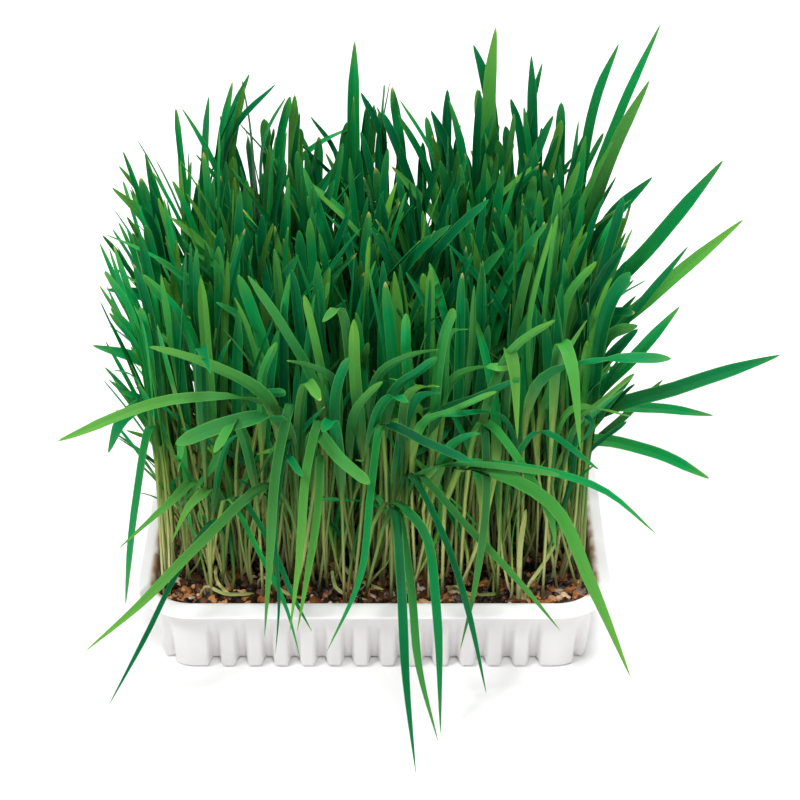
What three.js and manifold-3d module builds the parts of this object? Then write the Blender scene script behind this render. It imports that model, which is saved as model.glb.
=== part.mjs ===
import * as THREE from 'three';
import Module from 'manifold-3d';

// A shallow white tray of growing mix with a dense stand of young wheatgrass.
// Millimetres, +Z up, the tray stands on z = 0 with its middle at the origin and its
// long front side toward -Y.

// Tray
const BASE_HALF_X = 90;
const BASE_HALF_Y = 58;
const HEIGHT = 35.3;
const DRAFT = 3;
const BASE_CORNER = 15;
const CORNER_STEPS = 6;
const WALL = 1.2;
const RIM_REACH = 6.3;
const RIM_EDGE_Z = 32.5;

// Hollow flutes round the tray wall: deepest at the floor, gone just under the rim
const FLUTE_PITCH = 11.15;
const FLUTES_LONG = 13;
const FLUTES_SHORT = 7;
const FLUTE_DEPTH = 6.6;
const FLUTE_TOP = 27;
const FLUTE_MOUTH = 2.8;
const FLUTE_FLOOR = 1.5;
const CORNER_FLUTE = 0.8;

// Growing mix
const GAP = 0.3;
const SOIL_TOP = 28;

// Grass: a field of tufts in a grid, and a fringe of spilling blades along each side
const COLUMNS = 5;
const ROWS = 3;
const CELL_X = 33;
const CELL_Y = 31;
const FIELD_Y = 2.5;
const MAT_INSET = 1.9;
const MAT_DEPTH = 11;
const FRINGE_DEPTH = 5.5;
const BLADES_PER_TUFT = 12;
const STEM_WIDTH = 1.9;
const KEEL = 1.25;
const SUNK = 4;

// One fringe for each side: the strip of root mat, which way is outward, how many
// blades and which way they face, how high they rise, how far they lean out and how
// far they drop again.
const FRINGES = [
  { name: 'fringe_front', x: [-80, 80], y: [-52.6, -46.4], out: [0, -1], count: 8, face: 180,
    rise: [98, 150], reach: [10, 52], fall: [-6, 62], sway: 26, seed: 101 },
  { name: 'fringe_back', x: [-80, 80], y: [51.2, 56], out: [0, 1], count: 20, face: 0,
    rise: [146, 176], reach: [1, 9], fall: [-12, -4], sway: 6, seed: 102 },
  { name: 'fringe_left', x: [-88.4, -83.6], y: [-42, 47], out: [-1, 0], count: 9, face: 40,
    rise: [112, 156], reach: [3, 20], fall: [-14, 6], sway: 8, seed: 103 },
  { name: 'fringe_right', x: [83.6, 88.4], y: [-42, 47], out: [1, 0], count: 9, face: -40,
    rise: [112, 156], reach: [3, 20], fall: [-14, 6], sway: 8, seed: 104 },
];

// The long blades that give the stand its outline. Each one: root x and y, then the
// points it passes and its tip, the width of the leaf and the way it faces, in degrees.
const LONG_BLADES = {
  fringe_front: [
    { root: [-38, -49], by: [[-32, -57, 129], [-38, -68, 105], [-41, -78, 69]], tip: [-44, -82, 34], width: 5.0, face: 180 },
    { root: [-32, -50], by: [[-33, -60, 114], [-39, -70, 78], [-38, -76, 48]], tip: [-40, -79, 23], width: 2.4, face: 180 },
    { root: [-22, -49], by: [[-21, -58, 122], [-26, -68, 105], [-29, -75, 72]], tip: [-34, -78, 33], width: 4.6, face: 180 },
    { root: [-62, -50], by: [[-58, -60, 86], [-46, -68, 66], [-36, -74, 45]], tip: [-30, -77, 19], width: 2.6, face: 180 },
    { root: [-58, -49], by: [[-54, -60, 87], [-42, -68, 72], [-32, -74, 47]], tip: [-25, -76, 32], width: 2.8, face: 180 },
    { root: [-24, -50], by: [[-21, -60, 107], [-22, -68, 86], [-26, -73, 61]], tip: [-31, -77, 33], width: 4.0, face: 180 },
    { root: [4, -49], by: [[3, -58, 120], [-1, -68, 93], [-5, -76, 60]], tip: [-19, -80, 25], width: 3.8, face: 180 },
    { root: [0, -49], by: [[8, -66, 86], [11, -98, 74], [13, -120, 42]], tip: [17, -132, 4], width: 4.8, face: 180 },
    { root: [6, -50], by: [[10, -68, 85], [15, -90, 65], [18, -104, 37]], tip: [26, -112, 4], width: 4.2, face: 180 },
    { root: [-3, -50], by: [[6, -62, 86], [20, -78, 83], [25, -95, 57]], tip: [27, -107, 4], width: 4.8, face: 180 },
    { root: [44, -49], by: [[44, -57, 118], [45, -66, 90], [41, -74, 54]], tip: [35, -78, 23], width: 4.0, face: 180 },
    { root: [6, -48], by: [[14, -60, 98], [27, -70, 78], [37, -78, 49]], tip: [46, -86, 8], width: 3.4, face: 180 },
    { root: [10, -50], by: [[16, -58, 97], [39, -66, 75], [61, -72, 51]], tip: [76, -77, 33], width: 3.8, face: 180 },
    { root: [24, -50], by: [[35, -60, 100], [69, -72, 93], [87, -80, 58]], tip: [105, -84, 14], width: 5.6, face: 180 },
    { root: [36, -49], by: [[44, -55, 119], [62, -62, 98], [71, -67, 81]], tip: [73, -70, 68], width: 4.4, face: 180 },
    { root: [20, -48], by: [[25, -58, 99], [56, -62, 103], [90, -66, 95]], tip: [113, -70, 76], width: 4.0, face: 180 },
    { root: [-36, -50], by: [[-41, -62, 94], [-69, -76, 75], [-92, -88, 55]], tip: [-114, -98, 39], width: 5.2, face: 180 },
    { root: [-58, -50], by: [[-64, -60, 76], [-78, -72, 60], [-92, -84, 35]], tip: [-108, -92, 6], width: 2.8, face: 180 },
    { root: [62, -50], by: [[66, -58, 140], [90, -60, 150]], tip: [115, -62, 152], width: 5.8, face: 185 },
    { root: [-36, -48], by: [[-41, -60, 132], [-60, -66, 150]], tip: [-84, -72, 163], width: 6.6, face: 180 },
    { root: [-33, -50], by: [[-37, -62, 124], [-57, -70, 127]], tip: [-76, -76, 122], width: 7, face: 175 },
    { root: [42, -50], by: [[46, -54, 130], [55, -57, 154]], tip: [70, -60, 168], width: 4.2, face: 180 },
    { root: [22, -50], by: [[26, -56, 123], [42, -60, 134]], tip: [57, -64, 144], width: 4.4, face: 180 },
    { root: [14, -50], by: [[19, -58, 119], [32, -64, 130]], tip: [48, -68, 141], width: 4.2, face: 180 },
    { root: [30, -49], by: [[31, -52, 136], [43, -55, 144]], tip: [54, -58, 145], width: 4.4, face: 180 },
    { root: [-2, -50], by: [[2, -54, 139], [14, -57, 150]], tip: [26, -60, 155], width: 4, face: 180 },
    { root: [4, -50], by: [[8, -56, 133], [18, -60, 145]], tip: [25, -64, 154], width: 4.6, face: 180 },
    { root: [10, -50], by: [[13, -58, 131], [18, -62, 139]], tip: [26, -66, 142], width: 3.8, face: 180 },
    { root: [-4, -50], by: [[2, -57, 125], [8, -62, 135]], tip: [14, -68, 136], width: 4.2, face: 180 },
    { root: [79, -48], by: [[81, -52, 116], [92, -54, 130]], tip: [102, -56, 142], width: 2.8, face: 180 },
    { root: [52, -50], by: [[57, -58, 104], [66, -62, 119]], tip: [89, -66, 104], width: 2.8, face: 180 },
    { root: [26, -50], by: [[29, -60, 108], [35, -64, 117]], tip: [42, -68, 122], width: 4.4, face: 180 },
    { root: [0, -50], by: [[4, -58, 119], [22, -66, 116]], tip: [39, -72, 111], width: 4, face: 180 },
    { root: [16, -50], by: [[19, -60, 98], [38, -64, 105]], tip: [74, -70, 104], width: 3, face: 180 },
    { root: [26, -49], by: [[28, -52, 131], [30, -56, 160]], tip: [37, -60, 164], width: 3.4, face: 180 },
    { root: [10, -49], by: [[15, -50, 117], [13, -52, 149]], tip: [13, -53, 167], width: 4.4, face: 180 },
    { root: [-10, -49], by: [[-5, -50, 112], [-7, -52, 141]], tip: [-7, -54, 165], width: 5, face: 180 },
    { root: [-4, -50], by: [[-8, -54, 120], [-3, -58, 132]], tip: [4, -62, 142], width: 3.8, face: 180 },
    { root: [-12, -50], by: [[-15, -54, 124], [-13, -58, 140]], tip: [-9, -61, 152], width: 4.4, face: 180 },
    { root: [-14, -49], by: [[-9, -50, 145], [-13, -53, 169]], tip: [-19, -58, 166], width: 4, face: 180 },
    { root: [-44, -49], by: [[-44, -50, 122], [-43, -52, 139]], tip: [-37, -54, 155], width: 4, face: 180 },
    { root: [-20, -48], by: [[-19, -49, 126], [-22, -51, 152]], tip: [-26, -53, 175], width: 3.6, face: 180 },
    { root: [-20, -49], by: [[-21, -50, 126], [-34, -53, 160]], tip: [-47, -56, 185], width: 4.2, face: 180 },
    { root: [-16, -50], by: [[-15, -53, 136], [-23, -57, 145]], tip: [-33, -60, 150], width: 4, face: 180 },
    { root: [-16, -50], by: [[-22, -60, 117], [-13, -66, 109]], tip: [-1, -72, 101], width: 5.4, face: 180 },
    { root: [-30, -49], by: [[-36, -56, 124], [-76, -64, 135]], tip: [-122, -72, 121], width: 4.8, face: 180 },
  ],
  fringe_back: [
    { root: [-8, 54], by: [[-9, 56, 160], [-9, 57, 208]], tip: [-8, 57, 234], width: 5.6, face: 20 },
    { root: [54, 53], by: [[50, 56, 170], [48, 57, 212]], tip: [50, 58, 240], width: 5.8, face: -10 },
    { root: [44, 54], by: [[50, 58, 188], [46, 60, 216]], tip: [41, 61, 231], width: 5.2, face: 15 },
    { root: [66, 53], by: [[67, 56, 168], [66, 58, 204]], tip: [65, 59, 227], width: 4.6, face: 0 },
  ],
  fringe_left: [
    { root: [-86, 42], by: [[-87, 42, 129], [-97, 42, 160]], tip: [-110, 42, 175], width: 4.6, face: 30 },
    { root: [-86, 46], by: [[-87, 48, 142], [-92, 49, 164]], tip: [-96, 50, 185], width: 4.8, face: 20 },
    { root: [-86, 30], by: [[-87, 30, 137], [-89, 28, 164]], tip: [-92, 26, 184], width: 5, face: 15 },
    { root: [-86, 20], by: [[-87, 18, 118], [-91, 16, 144]], tip: [-99, 14, 168], width: 5.6, face: 25 },
    { root: [-86, 10], by: [[-87, 8, 118], [-94, 6, 142]], tip: [-110, 4, 147], width: 5.2, face: 35 },
    { root: [-86, 0], by: [[-87, -4, 99], [-92, -6, 124]], tip: [-101, -8, 150], width: 5, face: 25 },
    { root: [-86, 26], by: [[-88, 26, 84], [-100, 26, 100]], tip: [-121, 26, 108], width: 5.2, face: 40 },
    { root: [-86, -22], by: [[-89, -30, 113], [-100, -36, 110]], tip: [-108, -38, 94], width: 6.2, face: 35 },
    { root: [-86, -34], by: [[-89, -44, 110], [-96, -52, 78]], tip: [-103, -56, 31], width: 5, face: 40 },
  ],
  fringe_right: [
    { root: [86, 44], by: [[87, 46, 178], [92, 48, 214]], tip: [100, 50, 236], width: 4.2, face: -15 },
    { root: [86, 36], by: [[89, 40, 163], [101, 44, 207]], tip: [116, 46, 246], width: 4, face: -15 },
    { root: [86, 30], by: [[88, 34, 150], [99, 36, 196]], tip: [112, 38, 225], width: 5.5, face: -10 },
    { root: [86, 22], by: [[91, 24, 121], [117, 26, 158]], tip: [143, 28, 194], width: 6.2, face: -20 },
    { root: [86, 39], by: [[88, 37, 134], [99, 35, 164]], tip: [115, 33, 184], width: 6, face: -25 },
    { root: [86, 12], by: [[90, 12, 109], [116, 12, 140]], tip: [151, 14, 174], width: 5.6, face: -30 },
    { root: [86, 4], by: [[90, 2, 112], [107, 0, 139]], tip: [127, -2, 170], width: 3.6, face: -15 },
    { root: [86, -6], by: [[89, -10, 98], [107, -14, 126]], tip: [123, -18, 151], width: 5, face: -20 },
    { root: [86, -10], by: [[89, -12, 92], [127, -15, 112]], tip: [165, -19, 129], width: 6, face: -35 },
    { root: [86, 18], by: [[90, 20, 77], [119, 22, 79]], tip: [147, 24, 74], width: 4.6, face: -50 },
    { root: [86, 30], by: [[92, 30, 56], [121, 28, 53]], tip: [148, 26, 40], width: 5.6, face: -50 },
    { root: [86, -22], by: [[88, -18, 88], [95, -20, 105]], tip: [106, -22, 122], width: 3.6, face: 0 },
    { root: [86, 26], by: [[94, 30, 52], [110, 34, 68]], tip: [126, 38, 84], width: 3.4, face: -20 },
  ],
};

const FIELD_WIDTHS = [[0, 1.7], [0.44, 1.9], [0.63, 4.8], [0.88, 4.2]];
const FRINGE_WIDTHS = [[0, 0], [0.3, 0.1], [0.5, 0.9], [0.74, 1], [0.92, 0.6]];
const ARCH_WIDTHS = [[0, 0], [0.2, 0.2], [0.34, 0.7], [0.5, 1], [0.7, 1], [0.9, 0.6]];

// Seeded draws, so that every run gives the same grass
function drawsFrom(seed) {
  let state = (seed * 2654435761) % 4294967296;
  return function draw(low = 0, high = 1) {
    state = (Math.imul(state, 1664525) + 1013904223) >>> 0;
    return low + (high - low) * (state / 4294967296);
  };
}

// Corners of one outline of the tray wall: a rounded rectangle at height z, moved in
// by `inset`. Each point also carries its turn round the tray, used to join outlines.
function wallOutline(z, inset, fluted) {
  const slope = (DRAFT * z) / HEIGHT;
  const halfX = BASE_HALF_X + slope - inset;
  const halfY = BASE_HALF_Y + slope - inset;
  const radius = BASE_CORNER + slope - inset;
  const depth = FLUTE_DEPTH * Math.max(0, 1 - z / FLUTE_TOP);
  const mouth = FLUTE_MOUTH + 0.8 * Math.max(0, inset);
  const floor = FLUTE_FLOOR + 0.8 * Math.max(0, inset);
  const points = [];
  const sides = [
    { along: [1, 0], out: [0, -1], reach: halfY, half: halfX - radius, flutes: FLUTES_LONG },
    { along: [0, 1], out: [1, 0], reach: halfX, half: halfY - radius, flutes: FLUTES_SHORT },
    { along: [-1, 0], out: [0, 1], reach: halfY, half: halfX - radius, flutes: FLUTES_LONG },
    { along: [0, -1], out: [-1, 0], reach: halfX, half: halfY - radius, flutes: FLUTES_SHORT },
  ];
  sides.forEach((side, index) => {
    const place = (along, sunk, turn) => points.push({
      x: side.along[0] * along + side.out[0] * (side.reach - sunk),
      y: side.along[1] * along + side.out[1] * (side.reach - sunk),
      z,
      turn,
    });
    if (fluted) {
      for (let k = 0; k < side.flutes; k += 1) {
        const centre = (k - (side.flutes - 1) / 2) * FLUTE_PITCH;
        [[-mouth, 0], [-floor, depth], [floor, depth], [mouth, 0]].forEach(([step, sunk]) => {
          const along = centre + step;
          place(along, sunk, 2 * index + 0.5 + along / 400);
        });
      }
    }
    const turnCorner = (angle, sunk) => {
      const along = side.half + (radius - sunk) * Math.sin(angle);
      const inward = radius - (radius - sunk) * Math.cos(angle);
      place(along, inward, 2 * index + 1 + angle / (Math.PI / 2));
    };
    for (let k = 0; k <= CORNER_STEPS; k += 1) {
      const angle = (Math.PI / 2) * (k / CORNER_STEPS);
      if (fluted && 2 * k === CORNER_STEPS) {
        const mouthTurn = (CORNER_FLUTE * mouth) / BASE_CORNER;
        const floorTurn = (CORNER_FLUTE * floor) / BASE_CORNER;
        turnCorner(angle - mouthTurn, 0);
        turnCorner(angle - floorTurn, 0.7 * depth);
        turnCorner(angle + floorTurn, 0.7 * depth);
        turnCorner(angle + mouthTurn, 0);
      } else {
        turnCorner(angle, 0);
      }
    }
  });
  return points;
}

// A closed solid through outlines: each is joined to the next, and the first and the
// last are filled in.
function skin(outlines) {
  const positions = [];
  const triangles = [];
  const starts = [];
  outlines.forEach((outline) => {
    starts.push(positions.length / 3);
    outline.forEach((p) => positions.push(p.x, p.y, p.z));
  });
  for (let level = 0; level + 1 < outlines.length; level += 1) {
    const lower = outlines[level];
    const upper = outlines[level + 1];
    const rising = lower[0].z < upper[0].z;
    let i = 0;
    let j = 0;
    while (i < lower.length || j < upper.length) {
      const a = starts[level] + (i % lower.length);
      const b = starts[level + 1] + (j % upper.length);
      const nextLower = i + 1 < lower.length ? lower[i + 1].turn : 8 + lower[0].turn;
      const nextUpper = j + 1 < upper.length ? upper[j + 1].turn : 8 + upper[0].turn;
      const lowerFirst = nextLower < nextUpper || (nextLower === nextUpper && rising);
      if (j >= upper.length || (i < lower.length && lowerFirst)) {
        triangles.push(a, starts[level] + ((i + 1) % lower.length), b);
        i += 1;
      } else {
        triangles.push(a, starts[level + 1] + ((j + 1) % upper.length), b);
        j += 1;
      }
    }
  }
  const fill = (level, upward) => {
    const outline = outlines[level].map((p) => new THREE.Vector2(p.x, p.y));
    THREE.ShapeUtils.triangulateShape(outline, []).forEach(([a, b, c]) => {
      const order = upward ? [a, b, c] : [a, c, b];
      order.forEach((corner) => triangles.push(starts[level] + corner));
    });
  };
  fill(0, false);
  fill(outlines.length - 1, true);
  return { positions, triangles };
}

// Fluted body, rolled rim and hollow inside, as one run of outlines from the foot up
// the outside, over the rim and down the inside to the floor.
function traySkin() {
  return skin([
    wallOutline(0, 0, true),
    wallOutline(FLUTE_TOP, 0, true),
    wallOutline(HEIGHT - 3.4, 0, false),
    wallOutline(RIM_EDGE_Z - 1.2, -RIM_REACH + 0.8, false),
    wallOutline(RIM_EDGE_Z - 0.7, -RIM_REACH, false),
    wallOutline(RIM_EDGE_Z, -RIM_REACH, false),
    wallOutline(HEIGHT - 0.3, -1.6, false),
    wallOutline(HEIGHT, -0.4, false),
    wallOutline(HEIGHT - 0.6, 0.8, false),
    wallOutline(HEIGHT - 2.4, WALL, false),
    wallOutline(FLUTE_TOP, WALL, true),
    wallOutline(WALL, WALL, true),
  ]);
}

// Growing mix as it fills the tray, a hair clear of the wall and the floor
function soilSkin() {
  const inset = WALL + GAP;
  return skin([
    wallOutline(WALL + GAP, inset, true),
    wallOutline(FLUTE_TOP, inset, true),
    wallOutline(SOIL_TOP, inset, false),
  ]);
}

// A box between two corners
function boxSkin(low, high) {
  const box = new THREE.BoxGeometry(high[0] - low[0], high[1] - low[1], high[2] - low[2]);
  box.translate((low[0] + high[0]) / 2, (low[1] + high[1]) / 2, (low[2] + high[2]) / 2);
  return fromGeometry(box);
}

// A block of root mat, its top raised in low lumps by draws
function matSkin(low, high, draw) {
  const steps = 4;
  const block = new THREE.BoxGeometry(
    high[0] - low[0],
    high[1] - low[1],
    high[2] - low[2],
    steps,
    steps,
    1,
  );
  block.translate((low[0] + high[0]) / 2, (low[1] + high[1]) / 2, (low[2] + high[2]) / 2);
  const skinned = fromGeometry(block);
  for (let k = 0; k < skinned.positions.length; k += 3) {
    const edge = Math.min(
      skinned.positions[k] - low[0],
      high[0] - skinned.positions[k],
      skinned.positions[k + 1] - low[1],
      high[1] - skinned.positions[k + 1],
    );
    if (skinned.positions[k + 2] > high[2] - 0.01 && edge > 1) {
      skinned.positions[k + 2] += draw(-0.4, 1.4);
    }
  }
  return skinned;
}

// A granule of the mix: a stretched, tilted eight-sided grain
function grainSkin(centre, size, draw) {
  const grain = new THREE.OctahedronGeometry(1, 0);
  grain.scale(size * draw(0.7, 1.5), size * draw(0.5, 0.9), size * draw(0.4, 0.7));
  grain.rotateX(draw(-0.6, 0.6));
  grain.rotateZ(draw(0, Math.PI));
  grain.translate(centre[0], centre[1], centre[2]);
  return fromGeometry(grain);
}

// Positions and triangles of a geometry, with corners that meet joined by place
function fromGeometry(geometry) {
  const source = geometry.getAttribute('position');
  const index = geometry.getIndex();
  const count = index ? index.count : source.count;
  const known = new Map();
  const positions = [];
  const triangles = [];
  for (let k = 0; k < count; k += 1) {
    const at = index ? index.getX(k) : k;
    const point = [source.getX(at), source.getY(at), source.getZ(at)];
    const key = point.map((value) => Math.round(value * 1e4)).join(' ');
    if (!known.has(key)) {
      known.set(key, positions.length / 3);
      positions.push(...point);
    }
    triangles.push(known.get(key));
  }
  return { positions, triangles };
}

// A blade: a keeled strip swept up its path. `rings` gives each place along the path
// and the full width there; the keel runs down the back and the tip is a point.
function bladeSkin(path, rings, face, twist) {
  const positions = [];
  const triangles = [];
  const turned = THREE.MathUtils.degToRad(face);
  let across = new THREE.Vector3(Math.cos(turned), Math.sin(turned), 0);
  rings.forEach(([t, width], ring) => {
    const centre = path(t);
    const along = path(t + 0.01).sub(path(t - 0.01)).normalize();
    across = across.clone().addScaledVector(along, -across.dot(along)).normalize();
    const side = across.clone().applyAxisAngle(along, twist * t);
    const back = new THREE.Vector3().crossVectors(side, along);
    const keel = centre.clone().addScaledVector(back, -KEEL * (ring ? 0.7 : 1));
    const left = centre.clone().addScaledVector(side, -width / 2).addScaledVector(back, 0.3);
    const right = centre.clone().addScaledVector(side, width / 2).addScaledVector(back, 0.3);
    [left, right, keel].forEach((p) => positions.push(p.x, p.y, p.z));
    if (ring === 0) {
      triangles.push(0, 2, 1);
      return;
    }
    for (let corner = 0; corner < 3; corner += 1) {
      const a = 3 * (ring - 1) + corner;
      const b = 3 * (ring - 1) + ((corner + 1) % 3);
      triangles.push(a, b, a + 3, b, b + 3, a + 3);
    }
  });
  const last = 3 * (rings.length - 1);
  const tip = path(1);
  positions.push(tip.x, tip.y, tip.z);
  for (let corner = 0; corner < 3; corner += 1) {
    triangles.push(last + corner, last + ((corner + 1) % 3), last + 3);
  }
  return { positions, triangles };
}

// Upright blades of one tuft. A blade leans from its root to its tip inside its own
// cell of the field, so that it never meets a blade of the next tuft.
function fieldBlades(column, row) {
  const draw = drawsFrom(1 + column + COLUMNS * row);
  const centreX = (column - (COLUMNS - 1) / 2) * CELL_X;
  const centreY = FIELD_Y + (row - (ROWS - 1) / 2) * CELL_Y;
  const limitX = CELL_X / 2 - 3.4;
  const limitY = CELL_Y / 2 - 3.4;
  const blades = [];
  for (let k = 0; k < BLADES_PER_TUFT; k += 1) {
    const spot = (5 * k + 3 * column + row) % 16;
    const u = ((spot % 4) - 1.5) * 6.4 + draw(-2.4, 2.4);
    const v = (Math.floor(spot / 4) - 1.5) * 6 + draw(-2.4, 2.4);
    const tipU = THREE.MathUtils.clamp(u + draw(-5, 5), -limitX, limitX);
    const tipV = THREE.MathUtils.clamp(v + draw(-5, 5), -limitY, limitY);
    const rise = 148 + 0.3 * (centreY + v) + draw(-17, 17);
    const bend = draw(1.3, 2.2);
    const path = (t) => {
      const lean = t > 0 ? t ** bend : 0;
      return new THREE.Vector3(
        centreX + u + (tipU - u) * lean,
        centreY + v + (tipV - v) * lean,
        SOIL_TOP - SUNK + (rise + SUNK) * t,
      );
    };
    const broad = draw(0.85, 1.15);
    const rings = FIELD_WIDTHS.map(([t, width]) => [t, t > 0.5 ? width * broad : width]);
    blades.push(bladeSkin(path, rings, draw(-70, 70), draw(-0.7, 0.7)));
  }
  return { blades, centreX, centreY, draw };
}

// A smooth path through points, the root first and the tip last. Points that lie close
// together take a smaller share of the path, so that it turns there without a loop.
function pathThrough(points) {
  const curve = new THREE.CatmullRomCurve3(points, false, 'centripetal');
  const last = points.length - 1;
  const knots = [0];
  for (let k = 1; k <= last; k += 1) {
    knots.push(knots[k - 1] + Math.sqrt(points[k].distanceTo(points[k - 1])));
  }
  return (t) => {
    const place = THREE.MathUtils.clamp(t, 0, 1) * knots[last];
    const passed = knots.filter((knot) => knot <= place).length - 1;
    const step = Math.min(passed, last - 1);
    const share = (place - knots[step]) / (knots[step + 1] - knots[step]);
    return curve.getPoint((step + share) / last);
  };
}

// One blade of a fringe, from its root, the points it passes and its tip
function fringeBlade(root, by, tip, width, face, twist) {
  const points = [
    new THREE.Vector3(root[0], root[1], SOIL_TOP - SUNK),
    ...by.map((point) => new THREE.Vector3(...point)),
    new THREE.Vector3(...tip),
  ];
  const widths = by.length > 2 ? ARCH_WIDTHS : FRINGE_WIDTHS;
  const rings = widths.map(([t, part]) => [t, STEM_WIDTH + (width - STEM_WIDTH) * part]);
  return bladeSkin(pathThrough(points), rings, face, twist);
}

// Blades along one side: the long ones, then the rest by seeded draws, which lean
// outward only and so stay clear of the field.
function fringeBlades(fringe) {
  const draw = drawsFrom(fringe.seed);
  const blades = LONG_BLADES[fringe.name].map((blade) => (
    fringeBlade(blade.root, blade.by, blade.tip, blade.width, blade.face, 0)
  ));
  const [outX, outY] = fringe.out;
  for (let k = 0; k < fringe.count; k += 1) {
    const share = (k + draw(0.15, 0.85)) / fringe.count;
    const depth = draw(0.25, 0.75);
    const alongX = outX === 0;
    const rootX = alongX ? -77 + 154 * share : THREE.MathUtils.lerp(...fringe.x, depth);
    const rootY = alongX ? THREE.MathUtils.lerp(...fringe.y, depth) : -39 + 83 * share;
    const rise = draw(...fringe.rise);
    const reach = draw(...fringe.reach);
    const fall = draw(...fringe.fall);
    const sway = draw(-fringe.sway, fringe.sway);
    const at = (out, side, up) => [
      rootX + outX * out + outY * side,
      rootY + outY * out + outX * side,
      SOIL_TOP + up,
    ];
    const by = [at(0.1 * reach, 0.1 * sway, 0.55 * rise), at(0.45 * reach, 0.5 * sway, 0.9 * rise)];
    const tip = at(reach, sway, rise - fall);
    const width = draw(4.6, 6.2);
    const face = fringe.face + draw(-40, 40);
    blades.push(fringeBlade([rootX, rootY], by, tip, width, face, draw(-0.4, 0.4)));
  }
  return { blades, draw };
}

const wasm = await Module();
wasm.setup();
const solid = ({ positions, triangles }) => new wasm.Manifold(new wasm.Mesh({
  numProp: 3,
  vertProperties: new Float32Array(positions),
  triVerts: new Uint32Array(triangles),
}));
const group = new THREE.Group();

// Joins solids into one, fills any hollow that joining seals and drops loose scraps
const joined = (parts) => {
  const pieces = wasm.Manifold.union(parts).simplify(0.1).decompose();
  return pieces.sort((a, b) => b.volume() - a.volume())[0];
};

const add = (name, body, colour, roughness) => {
  const made = body.getMesh();
  const geometry = new THREE.BufferGeometry();
  geometry.setAttribute('position', new THREE.BufferAttribute(new Float32Array(made.vertProperties), 3));
  geometry.setIndex(new THREE.BufferAttribute(new Uint32Array(made.triVerts), 1));
  geometry.computeVertexNormals();
  const material = new THREE.MeshStandardMaterial({ color: colour, roughness, metalness: 0 });
  const mesh = new THREE.Mesh(geometry, material);
  mesh.name = name;
  group.add(mesh);
};

// Tray
add('tray', solid(traySkin()), 0xf4f1ee, 0.45);

// Growing mix, with a plain blind pocket for each root mat and grains on top
const pockets = [];
for (let row = 0; row < ROWS; row += 1) {
  for (let column = 0; column < COLUMNS; column += 1) {
    const x = (column - (COLUMNS - 1) / 2) * CELL_X;
    const y = FIELD_Y + (row - (ROWS - 1) / 2) * CELL_Y;
    const halfX = CELL_X / 2 - MAT_INSET + GAP;
    const halfY = CELL_Y / 2 - MAT_INSET + GAP;
    const low = [x - halfX, y - halfY, SOIL_TOP - MAT_DEPTH - GAP];
    pockets.push(solid(boxSkin(low, [x + halfX, y + halfY, SOIL_TOP + 10])));
  }
}
FRINGES.forEach(({ x, y }) => {
  const low = [x[0] - GAP, y[0] - GAP, SOIL_TOP - FRINGE_DEPTH - GAP];
  pockets.push(solid(boxSkin(low, [x[1] + GAP, y[1] + GAP, SOIL_TOP + 10])));
});
const soilDraw = drawsFrom(7);
const grains = [];
for (let k = 0; k < 24; k += 1) {
  const x = -84 + (168 * (k + 0.5)) / 24;
  grains.push(solid(grainSkin([x, soilDraw(-55, -53.8), SOIL_TOP], soilDraw(2, 3), soilDraw)));
  grains.push(solid(grainSkin([x, soilDraw(-44.8, -43.8), SOIL_TOP], soilDraw(2, 3), soilDraw)));
}
const filled = wasm.Manifold.union([solid(soilSkin()), ...grains]);
add('soil', filled.subtract(wasm.Manifold.union(pockets)), 0x4a2c1a, 0.95);

// Field of tufts, each on its own block of root mat
for (let row = 0; row < ROWS; row += 1) {
  for (let column = 0; column < COLUMNS; column += 1) {
    const { blades, centreX, centreY, draw } = fieldBlades(column, row);
    const halfX = CELL_X / 2 - MAT_INSET;
    const halfY = CELL_Y / 2 - MAT_INSET;
    const low = [centreX - halfX, centreY - halfY, SOIL_TOP - MAT_DEPTH];
    const mat = solid(matSkin(low, [centreX + halfX, centreY + halfY, SOIL_TOP], draw));
    const tuft = joined([mat, ...blades.map(solid)]);
    const number = String(1 + column + COLUMNS * row).padStart(2, '0');
    add(`tuft_${number}`, tuft, draw() > 0.5 ? 0x1f8f45 : 0x2a9a4a, 0.5);
  }
}

// Fringes of spilling blades, each on a strip of root mat
FRINGES.forEach((fringe) => {
  const { blades } = fringeBlades(fringe);
  const low = [fringe.x[0], fringe.y[0], SOIL_TOP - FRINGE_DEPTH];
  const mat = solid(boxSkin(low, [fringe.x[1], fringe.y[1], SOIL_TOP]));
  add(fringe.name, joined([mat, ...blades.map(solid)]), 0x259448, 0.5);
});

export default group;
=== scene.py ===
# %% [markdown]
# # A tray of wheatgrass
# A shallow white tray stands on the floor, full of brown granules, with a dense stand of
# young wheat growing out of it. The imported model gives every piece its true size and
# place. This lesson dresses it: a tray with rounded flutes, loose granules, and grass
# that is made blade by blade. Everything is in metres, with the tray's long side along X
# and its front toward -Y.

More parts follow.
